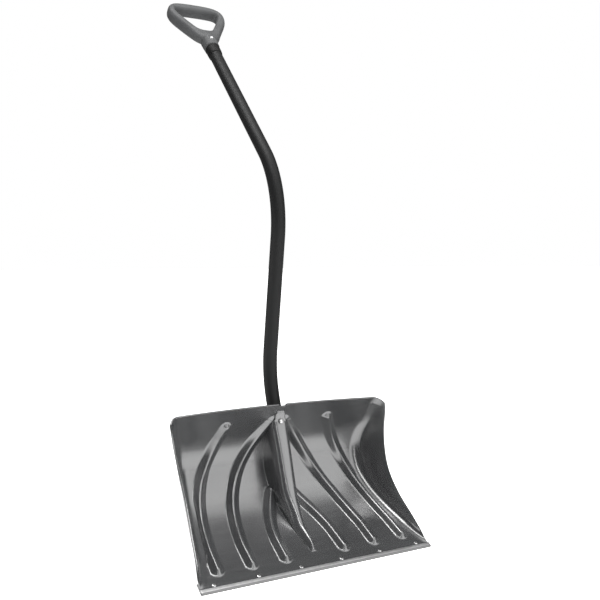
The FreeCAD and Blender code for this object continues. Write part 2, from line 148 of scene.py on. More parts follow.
# Wear strip and its rivets
STRIP_LENGTH = 457.2
STRIP_THICKNESS = 1.0
STRIP_PLAY = 0.2             # between strip and blade
STRIP_FRONT_LEG = 6.5
STRIP_BACK_LEG = 24.0
STRIP_EDGE_ROUND = 0.2
STRIP_SLICES = 120
FOLD_STEPS = 12
RIVET_PITCH = 80.9
RIVET_COUNT = 6
RIVET_S = 11.5
RIVET_HEAD_RADIUS = 4.0
RIVET_HEAD_HEIGHT = 1.5
RIVET_FLANGE = 0.5           # height of the head's upright rim
RIVET_SIDES = 48
RIVET_TAIL_PROFILE = [       # (radius, height out of the strip's back)
    (0, -0.4), (3.3, -0.4), (3.4, 0.0), (3.1, 0.06), (1.2, 0.02), (0, 0.0),
]
BUTTON_RIM = [               # upright rim of a button head: (share of its radius, share of its flange)
    (0.97, 0.0), (1.0, 0.5), (0.985, 1.0),
]
BUTTON_SHOULDER = (0.35, 0.62)       # shares of the radius: inside the round shoulder, and covered by it
BUTTON_SHOULDER_RISE = 0.9           # share of the height above the flange
BUTTON_CROWN = (0.2, 0.98)           # shares of the radius and of the height at the nearly flat top
BUTTON_STEPS = 8

# Shaft: centre line in the plane x = 0
SHAFT_FOOT = Vector((0, 141.2, 94.3))
LOWER_CORNER = Vector((0, 223.0, 315.6))
UPPER_CORNER = Vector((0, 167.2, 679.9))
GRIP_AXIS_ANGLE = 43.8       # rise of the top run
SHAFT_TOP_REACH = 522.0      # from the upper corner up the top run
BEND_RADIUS = 194.0
LOWER_BEND_STEPS = 16
UPPER_BEND_STEPS = 24
SHAFT_RADIUS = 13.9
CORE_RADIUS = 12.7
SLEEVE_PLAY = 0.05
SLEEVE_END_ROUND = 0.4
ROUND_SIDES = 64             # sides of the turned parts

# Grip: local x across, y up the shaft axis from the foot of the neck, z out of its front
NECK_REACH = 478.0           # from the upper corner to the foot of the neck
NECK_RADIUS = 17.3
NECK_BORE = 13.95
NECK_PROFILE = [             # (radius, y), from the tip inside the loop round to the end of the bore
    (0, 64.0), (7.0, 62.5), (11.5, 58.0), (15.0, 50.0), (17.8, 40.0), (18.6, 30.0), (18.2, 20.0),
    (NECK_RADIUS, 8.0), (NECK_RADIUS, 1.2), (16.6, 0.2), (14.6, 0.0), (NECK_BORE, 0.5),
    (NECK_BORE, 46.0), (0, 46.0),
]
GRIP_LOOP = [                # right half: x, y, half the thickness, half the depth, z of the middle
    (0.0, 48.5, 22.5, 13.5, 0.0),
    (9.0, 50.5, 21.0, 13.6, 0.0),
    (18.0, 56.5, 16.5, 13.8, -0.4),
    (26.0, 66.0, 12.0, 14.0, -1.0),
    (33.5, 79.0, 10.9, 14.3, -1.4),
    (44.8, 101.0, 10.6, 14.5, -1.8),
    (54.8, 122.0, 10.4, 14.5, -2.0),
    (59.6, 139.0, 9.2, 14.5, -2.0),
    (59.4, 153.0, 8.4, 14.5, -2.0),
    (53.5, 163.0, 9.0, 14.5, -2.0),
    (43.0, 168.0, 11.2, 14.5, -2.0),
    (28.0, 170.2, 12.6, 14.5, -2.0),
    (14.0, 170.8, 12.8, 14.5, -2.0),
    (0.0, 170.8, 12.8, 14.5, -2.0),
]
GRIP_FULLNESS = 2.5          # power of the loop's section: 2 is round, more is squarer
LOOP_STEPS = 260
LOOP_SIDES = 48
LOOP_AHEAD = 0.02            # share of a station by which the loop's direction is read
GRIP_VOXEL = 1.0
GRIP_EASE = 0.5
GRIP_EASE_TIMES = 8
COLLAR_PROFILE = [           # (radius, y) round the section of the collar
    (13.95, -0.2), (15.6, -0.1), (16.3, -0.7), (16.4, -2.2), (16.2, -3.6), (15.7, -4.4), (16.05, -5.4),
    (16.1, -12.0), (15.9, -20.0), (15.6, -25.0), (15.2, -27.4), (14.6, -28.6), (13.95, -28.9),
]

# Fasteners
GRIP_SCREW_Y = 22.0
GRIP_SCREW_HEAD = 7.4
GRIP_SCREW_HEAD_HEIGHT = 2.2
GRIP_SCREW_RECESS = 0.9
GRIP_SCREW_SHANK = 2.0       # radius
GRIP_SCREW_LENGTH = 15.0
SCREW_DISH = 1.0             # depth of the dish in the neck round the screw
SCREW_DISH_EDGE = 2.5
BOLT_REACH = 99.3            # from the lower corner down the lowest run
BOLT_HEAD = 8.0
BOLT_HEAD_HEIGHT = 2.4
BOLT_RECESS = 0.6
BOLT_SHANK = 3.0             # radius
BOLT_SEAT = 20.2             # from the shaft's axis to the head's seat
BOLT_TAIL = 6.5              # reach past the back of the shaft
HEAD_GAP = 0.02              # between a head and its seat
HEAD_RIM = 0.22              # share of a domed head's height that is its rim
HEAD_RIM_INSET = 0.98        # share of its radius at the seat
HEAD_DOME_POWER = 2.4
HEAD_RINGS = 22
HEAD_SPOKES = 72
CROSS_HALF_WIDTH = 0.1       # the cross recess, in shares of the head's radius
CROSS_EDGE = 0.08
CROSS_REACH = 0.42
CROSS_END = 0.12

# Materials
RAMP_STOPS = (0.3, 0.7)      # the middle of a texture's values
SPANGLE_SHARE = 0.35
# Painted shade on the wear strip: its steel is painted darker where the fold turns under towards the ground
FOLD_SHADE_START = -1.5            # y in front of which the strip's fold is fully in painted shade
FOLD_SHADE_END = -0.4              # and behind which it has no painted shade
# grey of the painted shade along the fold
FOLD_SHADE_GREY = 0.16

# Studio, in metres
DIM = 0.1                    # light of the surroundings where they are dim
PALE = 2.7                   # and where they are pale
SKY_EDGES = [                # axis, stretch of directions along it, and the light before and after it
    ("X", 0.02, 0.3, 0.0, 1.0),
    ("X", 0.62, 0.85, 1.0, 0.0),
    ("Y", -0.08, 0.2, 1.0, 0.0),
]
FLOOR_REACH = 30.0
FLOOR_GREY = 0.85
FLOOR_ROUGHNESS = 0.6
FLOOR_DIM = 0.4              # glow of the floor to the object where it is dim
FLOOR_PALE = 1.7             # and where it is pale
FLOOR_SEEN = 1.2             # glow of the floor to the camera
FLOOR_EDGES = [              # direction, and the reach along it over which the floor grows pale
    ((0.87, 0.5, 0.0), -1.9, -1.1),
    ((-0.87, -0.5, 0.0), -1.6, -0.9),
    ((0.0, -1.0, 0.0), -0.02, 0.05),
]
LIGHTS = [                   # name, place, target, (width, length), watts
    ("overhead_strip", (-0.4, -0.4, 2.4), (-0.4, -0.4, 0.0), (0.5, 3.6), 44.0),
    ("front_strip", (-0.5, -2.6, 1.2), (0.0, 0.1, 0.2), (0.3, 2.2), 12.0),
    ("left_panel", (-1.6, 0.5, 0.3), (0.0, 0.2, 0.15), (1.2, 0.6), 7.0),
    ("grip_top", (-0.05, 0.3, 1.75), (0.0, 0.62, 1.12), (0.4, 0.3), 5.0),
]
CAMERA_PLACE = (-0.6628, -1.1584, 0.5453)
CAMERA_TILT = 86.81
CAMERA_HEADING = -27.93
CAMERA_LENS = 46.85
CAMERA_SENSOR = 36.0
WHITE = (1.0, 1.0, 1.0, 1.0)

FOLD_RADIUS = BLADE_THICKNESS / 2 + STRIP_PLAY + STRIP_THICKNESS
SHEET_TOP = sum(length for length, turn in SHEET_RUNS)


# --- Shape formulas of the blade -------------------------------------------------------------

def smooth(value):
    """Ease from 0 to 1."""
    t = np.clip(value, 0.0, 1.0)
    return t * t * (3 - 2 * t)


def between(stations, s):
    """Values at s of the smooth curve through (s, value) stations."""
    at = np.array([row[0] for row in stations], float)
    values = np.array([row[1] for row in stations], float)
    if values.ndim == 2:
        return np.stack([between(list(zip(at, axis)), s) for axis in values.T], axis=-1)
    slopes = np.empty_like(values)
    slopes[1:-1] = (values[2:] - values[:-2]) / (at[2:] - at[:-2])
    slopes[0] = (values[1] - values[0]) / (at[1] - at[0])
    slopes[-1] = (values[-1] - values[-2]) / (at[-1] - at[-2])
    s = np.clip(s, at[0], at[-1])
    k = np.clip(np.searchsorted(at, s) - 1, 0, len(at) - 2)
    span = at[k + 1] - at[k]
    t = (s - at[k]) / span
    rise = t * t * (3 - 2 * t)
    leave = t * (1 - t) ** 2 * span
    arrive = t * t * (t - 1) * span
    return values[k] * (1 - rise) + values[k + 1] * rise + slopes[k] * leave + slopes[k + 1] * arrive


def sheet_place(s):
    """(y, z, slope) of the sheet's middle surface at distances s up it."""
    angle = np.full_like(s, math.radians(FOOT_SLOPE))
    y = np.zeros_like(s)
    z = np.full_like(s, FOLD_RADIUS)
    start = 0.0
    for length, turn in SHEET_RUNS:
        run = np.clip(s - start, 0, length)
        half = math.radians(turn) * run / length / 2
        chord = run * np.sinc(half / math.pi)
        y += chord * np.cos(angle + half)
        z += chord * np.sin(angle + half)
        angle += 2 * half
        start += length
    return y, z, angle


def sheet_normal(s):
    """Unit vectors out of the front of the sheet."""
    angle = sheet_place(s)[2]
    return np.stack([0 * s, -np.sin(angle), np.cos(angle)], axis=-1)


def front_point(x, s):
    """Points of the plain front face, before ribs and keel."""
    y, z = sheet_place(s)[:2]
    return np.stack([x + 0 * s, y, z], axis=-1) + sheet_normal(s) * (BLADE_THICKNESS / 2)


def lip_s(x):
    """Distance up the sheet of its top lip at x."""
    notch = LIP_NOTCH_DEPTH * (1 - smooth(2 * abs(x) / LIP_NOTCH_WIDTH))
    side = abs(x) * 2 / BLADE_WIDTH
    return SHEET_TOP - TOP_CROWN * side * side - notch


def tent(away):
    """Height of a rib's section, 1 wide and 1 high: flat flanks, a round crest and a round base."""
    crest = np.where(away < RIB_CREST_ROUND, (away ** 2 / RIB_CREST_ROUND + RIB_CREST_ROUND) / 2, away)
    left = 1 - crest
    base = np.where(
        left < RIB_BASE_ROUND,
        np.clip(left + RIB_BASE_ROUND, 0, None) ** 2 / (4 * RIB_BASE_ROUND),
        left,
    )
    return base / (1 - RIB_CREST_ROUND / 2)


def rib_lift(x, s):
    """Height of the ribs above the plain face; their ends are round in plan."""
    lift = np.zeros_like(s)
    for path, head_share in zip(RIBS, RIB_HEAD_SHARES):
        inside = np.clip(s, path[0][0], path[-1][0])
        centre = between(path, inside)
        lean = (between(path, inside + 1) - between(path, inside - 1)) / 2
        across = (x - centre) / np.hypot(1, lean)
        away = np.hypot(across, s - inside) / RIB_HALF_WIDTH
        end = smooth(2 * abs(s - inside) / RIB_HALF_WIDTH)
        dome = (1 + np.cos(math.pi * np.clip(away, 0, 1))) / 2
        height = RIB_HEIGHT * (1 - (1 - head_share) * smooth((s - path[-1][0]) / RIB_FADE + 1))
        lift = np.maximum(lift, height * (tent(away) * (1 - end) + dome * end))
    return lift


def keel_point(share, s):
    """Points of the keel, or of the rib where that is higher: share 0 is the crest, 1 the base line."""
    power = 2 / between(KEEL_FULLNESS, s)
    turn = math.pi / 2 * (1 - share) ** KEEL_CROWDING
    x = between(KEEL_HALF_WIDTH, s) * max(math.cos(turn), 0.0) ** power
    normal = sheet_normal(s)
    crest = between([(row[0], (0.0, row[1], row[2])) for row in KEEL_CREST], s)
    rise = crest - front_point(0.0, s)
    covered = (s >= KEEL_CREST[0][0]) & (s <= KEEL_CREST[-1][0]) & ((rise * normal).sum(axis=1) > 0)
    rise = rise * (covered * math.sin(turn) ** power)[:, None]
    rib = np.clip(rib_lift(x, s) * share - (rise * normal).sum(axis=1), 0, None)
    return front_point(x, s) + rise + normal * rib[:, None]


def sheet_face_point(share, s):
    """Points of the ribbed sheet: share 0 is the keel's base, share 1 the wing's round."""
    inner = between(KEEL_HALF_WIDTH, s)
    outer = between(WING_ROOT, s) - wing_round(s)
    x = inner + (outer - inner) * share
    return front_point(x, s) + sheet_normal(s) * rib_lift(x, s)[:, None]


def wing_edge_point(s):
    """Free edge of the right wing beside the sheet's height s."""
    share = (s - WING_START) / (SHEET_TOP - WING_START)
    edge = between(WING_EDGE, share)
    plain = front_point(WING_EDGE[0][1][0], s)
    return np.where((share <= 0)[:, None], plain, edge)


def wing_round(s):
    """Reach of the round at the wing's root, less where the wing is low."""
    depth = np.linalg.norm(wing_edge_point(s) - front_point(between(WING_ROOT, s), s), axis=1)
    return np.minimum(WING_FILLET, depth * WING_FILLET_SHARE)


def fillet_point(share, s):
    """Round between sheet (share 0) and wing (share 1)."""
    corner = front_point(between(WING_ROOT, s), s)
    reach = wing_round(s)[:, None]
    up_wing = wing_edge_point(s) - corner
    up_wing = up_wing / np.linalg.norm(up_wing, axis=1)[:, None]
    start = corner - np.array([1.0, 0.0, 0.0]) * reach
    end = corner + up_wing * reach
    return start * (1 - share) ** 2 + corner * 2 * share * (1 - share) + end * share ** 2


def wing_point(share, s):
    """Side wing from its round (share 0) to its free edge (share 1)."""
    start = fillet_point(1, s)
    return start + (wing_edge_point(s) - start) * share


def corner_drop(share):
    """Fall of the wing's top along its rounded corner."""
    return CORNER_RADIUS * (1 - math.sqrt(max(1 - share * share, 0.0)))


# --- Mesh tools ------------------------------------------------------------------------------

def new_piece(name, points, faces, material, replaced=()):
    """A smooth-shaded mesh piece from points in millimetres, riding on the object's one body."""
    mesh = bpy.data.meshes.new(name)
    mesh.from_pydata([tuple(p * MM) for p in np.asarray(points)], [], faces)
    mesh.update()
    piece = bpy.data.objects.new(name, mesh)
    bpy.context.scene.collection.objects.link(piece)
    face_outwards(mesh)
    mesh.shade_smooth()
    mesh.materials.append(material)
    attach(piece, "root")
    if replaced:
        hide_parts(*replaced)
    return piece


def face_outwards(mesh):
    """Make the normals consistent and outward."""
    work = bmesh.new()
    work.from_mesh(mesh)
    bmesh.ops.recalc_face_normals(work, faces=work.faces)
    work.to_mesh(mesh)
    work.free()


def grid_faces(rows, columns, start=0, wrap_rows=False, wrap_columns=False):
    """Quads of a rows x columns grid of points numbered row by row from start."""
    faces = []
    for i in range(rows if wrap_rows else rows - 1):
        for j in range(columns if wrap_columns else columns - 1):
            here = start + i * columns
            ahead = start + (i + 1) % rows * columns
            across = (j + 1) % columns
            faces.append((here + j, here + across, ahead + across, ahead + j))
    return faces


def grid_normals(grid):
    """Unit normals of a (rows, columns, 3) grid, out of the side that sees its columns run right."""
    upwards = np.gradient(grid, axis=0)
    across = np.gradient(grid, axis=1)
    normals = np.cross(across, upwards)
    return normals / np.linalg.norm(normals, axis=2)[:, :, None]


def blurred(field, reach, times):
    """A grid of unit vectors averaged over a square window a number of times."""
    for _ in range(times):
        for axis in (0, 1):
            pad = [(0, 0)] * 3
            pad[axis] = (reach, reach)
            wide = np.pad(field, pad, mode="edge")
            window = np.arange(field.shape[axis])
            total = sum(np.take(wide, window + k, axis=axis) for k in range(2 * reach + 1))
            field = total / (2 * reach + 1)
    return field / np.linalg.norm(field, axis=2)[:, :, None]


def round_edges(piece, width, segments=2):
    """Round the piece's sharp edges."""
    bevel = piece.modifiers.new("edge_round", "BEVEL")
    bevel.width = width * MM
    bevel.segments = segments
    bevel.limit_method = "ANGLE"
    bevel.angle_limit = math.radians(SHARP_ANGLE)


def ring_points(centre, side, up, radius_side, radius_up, count, fullness=2.0):
    """Points of a closed superellipse round a centre; fullness 2 is round, more is squarer."""
    power = 2 / fullness
    points = []
    for k in range(count):
        turn = 2 * math.pi * k / count
        c = math.cos(turn)
        s = math.sin(turn)
        points.append(
            centre
            + side * (radius_side * math.copysign(abs(c) ** power, c))
            + up * (radius_up * math.copysign(abs(s) ** power, s))
        )
    return points


def lathe(profile, centre, axis, count):
    """Points and faces of a profile of (radius, height) turned about an axis; radius 0 closes an end."""
    axis = axis.normalized()
    side = axis.orthogonal().normalized()
    up = axis.cross(side)
    points = []
    rings = []
    for radius, height in profile:
        at = centre + axis * height
        if radius == 0:
            rings.append([len(points)])
            points.append(at)
        else:
            rings.append(list(range(len(points), len(points) + count)))
            points += ring_points(at, side, up, radius, radius, count)
    faces = []
    for low, high in zip(rings, rings[1:]):
        for k in range(count):
            ahead = (k + 1) % count
            if len(low) == 1:
                faces.append((low[0], high[k], high[ahead]))
            elif len(high) == 1:
                faces.append((low[k], low[ahead], high[0]))
            else:
                faces.append((low[k], low[ahead], high[ahead], high[k]))
    return points, faces


def merged(parts):
    """One list of points and faces from several."""
    points = []
    faces = []
    for part_points, part_faces in parts:
        start = len(points)
        points += list(part_points)
        faces += [tuple(start + k for k in face) for face in part_faces]
    return points, faces


# --- Places on the object --------------------------------------------------------------------

def at_foot(x, s, offset):
    """Point on the flat foot of the sheet, at a distance out of its middle surface."""
    slope = math.radians(FOOT_SLOPE)
    y = s * math.cos(slope) - offset * math.sin(slope)
    return Vector((x, y, FOLD_RADIUS + s * math.sin(slope) + offset * math.cos(slope)))


def foot_normal():
    """Unit vector out of the front of the flat foot."""
    slope = math.radians(FOOT_SLOPE)
    return Vector((0, -math.sin(slope), math.cos(slope)))


def rivet_places():
    """x of the strip's rivets."""
    return [(k - (RIVET_COUNT - 1) / 2) * RIVET_PITCH for k in range(RIVET_COUNT)]


def up_shaft(reach):
    """Point of the top run's axis at a distance up from the upper corner."""
    rise = math.radians(GRIP_AXIS_ANGLE)
    return UPPER_CORNER + Vector((0, math.cos(rise), math.sin(rise))) * reach


def socket_axis():
    """Unit vector down the shaft's lowest run."""
    return (SHAFT_FOOT - LOWER_CORNER).normalized()


def socket_front():
    """Unit vector out of the front of the socket, square to the shaft."""
    down = socket_axis()
    return Vector((0, down.z, -down.y))


def bolt_centre():
    """Point of the shaft's axis that the socket bolt crosses."""
    return LOWER_CORNER + socket_axis() * BOLT_REACH


def rounded_corner(before, corner, after, radius, steps):
    """Points of the arc of this radius that rounds a corner."""
    back_along = (before - corner).normalized()
    ahead = (after - corner).normalized()
    half_turn = (math.pi - back_along.angle(ahead)) / 2
    inward = (back_along + ahead).normalized()
    middle = corner + inward * (radius / math.cos(half_turn))
    outward = (corner - middle).normalized()
    side = (ahead - outward * ahead.dot(outward)).normalized()
    turns = [half_turn * (2 * k / steps - 1) for k in range(steps + 1)]
    return [middle + (outward * math.cos(t) + side * math.sin(t)) * radius for t in turns]


def shaft_line(start, end):
    """Points of the shaft's centre line: three straight runs joined by two round bends."""
    lower = rounded_corner(start, LOWER_CORNER, UPPER_CORNER, BEND_RADIUS, LOWER_BEND_STEPS)
    upper = rounded_corner(LOWER_CORNER, UPPER_CORNER, end, BEND_RADIUS, UPPER_BEND_STEPS)
    return [start] + lower + upper + [end]


# --- Materials -------------------------------------------------------------------------------

MIX_NUMBERS = (2, 3, 0)      # a mix node's sockets: first and second input, output
MIX_COLOURS = (6, 7, 2)


class Nodes:
    """Short names for building the node tree of a material or of the surroundings."""

    def __init__(self, owner, shader="Principled BSDF"):
        owner.use_nodes = True
        self.tree = owner.node_tree
        self.shader = self.tree.nodes[shader]

    def add(self, kind, **settings):
        """New node with these inputs and properties."""
        node = self.tree.nodes.new(kind)
        for key, value in settings.items():
            if key in node.inputs:
                node.inputs[key].default_value = value
            else:
                setattr(node, key, value)
        return node

    def join(self, source, output, target, socket):
        """Link from one node's output to another's input."""
        self.tree.links.new(source.outputs[output], target.inputs[socket])

    def surface(self, **values):
        """Set the shader's inputs; an underscore in a name stands for a space."""
        for key, value in values.items():
            self.shader.inputs[key.replace("_", " ")].default_value = value

    def place(self, stretch=(1.0, 1.0, 1.0)):
        """Object coordinates, stretched."""
        coordinates = self.add("ShaderNodeTexCoord")
        mapping = self.add("ShaderNodeMapping", Scale=stretch)
        self.join(coordinates, "Object", mapping, "Vector")
        return mapping

    def noise(self, scale, detail=4.0, roughness=0.5, stretch=(1.0, 1.0, 1.0)):
        """Noise texture over the stretched object coordinates."""
        texture = self.add("ShaderNodeTexNoise", Scale=scale, Detail=detail, Roughness=roughness)
        self.join(self.place(stretch), "Vector", texture, "Vector")
        return texture

    def greys(self, source, output, low, high, tint=0.0):
        """Greys from low to high over the middle of a texture's values."""
        ramp = self.add("ShaderNodeValToRGB")
        for stop, position, value in zip(ramp.color_ramp.elements, RAMP_STOPS, (low, high)):
            stop.position = position
            stop.color = grey(value, tint)
        self.join(source, output, ramp, "Fac")
        return ramp

    def spread(self, source, output, first, second):
        """Number from first to second while a node's value goes from 0 to 1."""
        spread = self.add("ShaderNodeMapRange")
        spread.inputs["To Min"].default_value = first
        spread.inputs["To Max"].default_value = second
        self.join(source, output, spread, "Value")
        return spread

    def step(self, source, output, start, end, low=0.0, high=1.0):
        """Smooth step from low to high while a node's value goes from start to end."""
        step = self.spread(source, output, low, high)
        step.interpolation_type = "SMOOTHSTEP"
        step.inputs["From Min"].default_value = start
        step.inputs["From Max"].default_value = end
        return step

    def product(self, factors):
        """Product of the nodes' values."""
        total = factors[0]
        for factor in factors[1:]:
            both = self.add("ShaderNodeMath", operation="MULTIPLY")
            self.join(total, 0, both, 0)
            self.join(factor, 0, both, 1)
            total = both
        return total

    def bump(self, layers):
        """Bump from (node, distance in mm, strength) layers, one on another."""
        below = None
        for node, distance, strength in layers:
            bump = self.add("ShaderNodeBump", Distance=distance * MM, Strength=strength)
            self.join(node, "Fac", bump, "Height")
            if below:
                self.join(below, "Normal", bump, "Normal")
            below = bump
        self.join(below, "Normal", self.shader, "Normal")


def grey(value, tint=0.0):
    """Grey with a slight blue tint."""
    return (value * (1 - tint), value, value * (1 + tint), 1.0)


def blade_plastic():
    """Dark graphite moulded plastic: semi-gloss, finely grained, faintly streaked and scuffed."""
    material = bpy.data.materials.new("blade_plastic")
    nodes = Nodes(material)
    cloud = nodes.noise(9.0, detail=5.0)
    streaks = nodes.noise(14.0, detail=6.0, roughness=0.65, stretch=(1.0, 9.0, 9.0))
    grain = nodes.noise(2600.0, detail=2.0)
    ripple = nodes.noise(45.0, detail=2.0)
    nodes.join(nodes.greys(cloud, "Fac", 0.032, 0.045, tint=0.03), "Color", nodes.shader, "Base Color")
    nodes.join(nodes.greys(streaks, "Fac", 0.2, 0.27), "Color", nodes.shader, "Roughness")
    nodes.surface(Specular_IOR_Level=1.0, IOR=1.62, Coat_Weight=0.3, Coat_Roughness=0.1)
    nodes.bump([(ripple, 0.05, 0.12), (grain, 0.01, 0.06)])
    return material


def sleeve_plastic():
    """Black plastic sleeve: satin, with fine lines drawn along the shaft."""
    material = bpy.data.materials.new("sleeve_plastic")
    nodes = Nodes(material)
    lines = nodes.noise(90.0, detail=3.0, stretch=(9.0, 9.0, 0.6))
    grain = nodes.noise(1800.0, detail=2.0)
    nodes.join(nodes.greys(lines, "Fac", 0.004, 0.006, tint=0.03), "Color", nodes.shader, "Base Color")
    nodes.join(nodes.greys(lines, "Fac", 0.5, 0.62), "Color", nodes.shader, "Roughness")
    nodes.surface(Specular_IOR_Level=0.2)
    nodes.bump([(lines, 0.02, 0.06), (grain, 0.02, 0.06)])
    return material


def grip_plastic():
    """Mid grey moulded grip: satin with a fine leathery grain."""
    material = bpy.data.materials.new("grip_plastic")
    nodes = Nodes(material)
    cloud = nodes.noise(30.0)
    grain = nodes.noise(1500.0, detail=3.0)
    nodes.join(nodes.greys(cloud, "Fac", 0.055, 0.068, tint=0.02), "Color", nodes.shader, "Base Color")
    nodes.join(nodes.greys(cloud, "Fac", 0.52, 0.6), "Color", nodes.shader, "Roughness")
    nodes.surface(Specular_IOR_Level=0.2)
    nodes.bump([(grain, 0.02, 0.2)])
    return material


def collar_plastic():
    """Black moulded plastic, satin."""
    material = bpy.data.materials.new("collar_plastic")
    nodes = Nodes(material)
    cloud = nodes.noise(60.0, detail=3.0)
    grain = nodes.noise(1600.0, detail=2.0)
    nodes.join(nodes.greys(cloud, "Fac", 0.004, 0.006), "Color", nodes.shader, "Base Color")
    nodes.join(nodes.greys(cloud, "Fac", 0.52, 0.62), "Color", nodes.shader, "Roughness")
    nodes.surface(Specular_IOR_Level=0.13)
    nodes.bump([(grain, 0.02, 0.2)])
    return material


def paint_fold_shade(nodes, colour):
    """Colour of the strip with painted shade on its foremost edge, along the fold where it turns under
    towards the ground.
    """
    parts = nodes.add("ShaderNodeSeparateXYZ")
    nodes.join(nodes.add("ShaderNodeTexCoord"), "Object", parts, 0)
    edge = nodes.add("ShaderNodeMapRange")
    edge.inputs["From Min"].default_value = FOLD_SHADE_START * MM
    edge.inputs["From Max"].default_value = FOLD_SHADE_END * MM
    nodes.join(parts, "Y", edge, "Value")
    fold_shade, bright, mixed = MIX_COLOURS
    mix = nodes.add("ShaderNodeMix", data_type="RGBA")
    mix.inputs[fold_shade].default_value = grey(FOLD_SHADE_GREY)
    nodes.join(edge, 0, mix, 0)
    nodes.join(colour, "Color", mix, bright)
    nodes.join(mix, mixed, nodes.shader, "Base Color")


def metal(name, tone, rough, stretch, spangle, fold_shade=False):
    """Bare metal with drawn streaks and a spangle of slightly different tones, and, for the strip, painted
    shade along its fold.
    """
    material = bpy.data.materials.new(name)
    nodes = Nodes(material)
    streaks = nodes.noise(160.0, detail=5.0, stretch=stretch)
    cells = nodes.add("ShaderNodeTexVoronoi", Scale=spangle)
    nodes.join(nodes.place(), "Vector", cells, "Vector")
    first, second, mixed = MIX_NUMBERS
    blend = nodes.add("ShaderNodeMix", data_type="FLOAT")
    blend.inputs[0].default_value = SPANGLE_SHARE
    nodes.join(streaks, "Fac", blend, first)
    nodes.join(cells, "Distance", blend, second)
    colour = nodes.greys(blend, mixed, *tone)
    # painted shade along the strip's fold, darker towards its front
    if fold_shade:
        paint_fold_shade(nodes, colour)
    else:
        nodes.join(colour, "Color", nodes.shader, "Base Color")
    nodes.join(nodes.greys(blend, mixed, *rough), "Color", nodes.shader, "Roughness")
    nodes.surface(Metallic=1.0)
    nodes.bump([(streaks, 0.02, 0.3)])
    return material


# --- Pieces ----------------------------------------------------------------------------------

def blade_half():
    """Front face of the right half of the blade, as columns from the middle to the free edge."""
    kinds = []
    for k in range(KEEL_COLUMNS + 1):
        kinds.append((keel_point, k / KEEL_COLUMNS, KEEL_LIP_X * k / KEEL_COLUMNS, 0))
    for k in range(1, SHEET_COLUMNS + 1):
        share = k / SHEET_COLUMNS
        lip_x = SHEET_LIP_START + (SHEET_LIP_END - SHEET_LIP_START) * share
        kinds.append((sheet_face_point, share, lip_x, 0))
    for k in range(1, FILLET_COLUMNS + 1):
        share = k / FILLET_COLUMNS
        kinds.append((fillet_point, share, SHEET_LIP_END + (WING_LIP_X - SHEET_LIP_END) * share, 0))
    for k in range(1, WING_COLUMNS + 1):
        share = k / WING_COLUMNS
        kinds.append((wing_point, share, WING_LIP_X, corner_drop(share)))
    climb = np.arange(ROWS + 1) / ROWS
    return [kind(share, (lip_s(lip_x) - drop) * climb) for kind, share, lip_x, drop in kinds]


def rim_points(rows, wide):
    """Numbers of the points round the rim of a rows x wide grid, in order."""
    rim = list(range(wide))
    rim += [i * wide + wide - 1 for i in range(1, rows)]
    rim += [(rows - 1) * wide + j for j in range(wide - 2, -1, -1)]
    return rim + [i * wide for i in range(rows - 2, 0, -1)]


def blade(material):
    """The blade: front, back and rounded rims of one dense moulded shell."""
    half = blade_half()
    mirror = np.array([-1.0, 1.0, 1.0])
    columns = [column * mirror for column in half[:0:-1]] + half
    front = np.stack(columns, axis=1)
    normals = blurred(grid_normals(front), reach=2, times=3)
    back = front - normals * BLADE_THICKNESS
    rows, wide = front.shape[:2]
    count = rows * wide
    faces = grid_faces(rows, wide) + grid_faces(rows, wide, start=count)
    rim = rim_points(rows, wide)
    for here, ahead in zip(rim, rim[1:] + rim[:1]):
        faces.append((here, ahead, ahead + count, here + count))
    points = np.concatenate([front.reshape(-1, 3), back.reshape(-1, 3)])
    piece = new_piece("blade_shell", points, faces, material, ["blade"])
    round_edges(piece, RIM_ROUND, segments=3)


def wear_strip(material):
    """Folded steel strip: two legs and a round fold, with eased edges."""
    inner = FOLD_RADIUS - STRIP_THICKNESS
    section = [(STRIP_FRONT_LEG, FOLD_RADIUS), (STRIP_FRONT_LEG, inner)]
    turns = [math.pi * k / FOLD_STEPS for k in range(FOLD_STEPS + 1)]
    section += [(-inner * math.sin(t), inner * math.cos(t)) for t in turns]
    section += [(STRIP_BACK_LEG, -inner), (STRIP_BACK_LEG, -FOLD_RADIUS)]
    section += [(-FOLD_RADIUS * math.sin(t), FOLD_RADIUS * math.cos(t)) for t in reversed(turns)]
    points = []
    for k in range(STRIP_SLICES + 1):
        x = STRIP_LENGTH * (k / STRIP_SLICES - 0.5)
        points += [at_foot(x, s, offset) for s, offset in section]
    count = len(section)
    faces = grid_faces(STRIP_SLICES + 1, count, wrap_columns=True)
    faces += end_faces(count, 0) + end_faces(count, STRIP_SLICES * count)
    piece = new_piece("strip_folded", points, faces, material, ["wear_strip"])
    round_edges(piece, STRIP_EDGE_ROUND)


def end_faces(count, start):
    """Quads that close one end of the strip, across the count points of its section."""
    inner = list(range(1, (count + 2) // 2))
    outer = [0] + list(range(count - 1, (count + 2) // 2 - 1, -1))
    pairs = list(zip(inner, outer))
    return [(start + a, start + b, start + d, start + c) for (a, b), (c, d) in zip(pairs, pairs[1:])]


def button_head(radius, height, flange):
    """Profile of a low button head: an upright rim, a round shoulder and a nearly flat top."""
    profile = [(radius * out, flange * up) for out, up in BUTTON_RIM]
    inside, shoulder = BUTTON_SHOULDER
    for k in range(1, BUTTON_STEPS):
        turn = math.pi / 2 * k / BUTTON_STEPS
        rise = (height - flange) * math.sin(turn) * BUTTON_SHOULDER_RISE
        profile.append((radius * (inside + shoulder * math.cos(turn)), flange + rise))
    return profile + [(radius * BUTTON_CROWN[0], height * BUTTON_CROWN[1]), (0, height)]


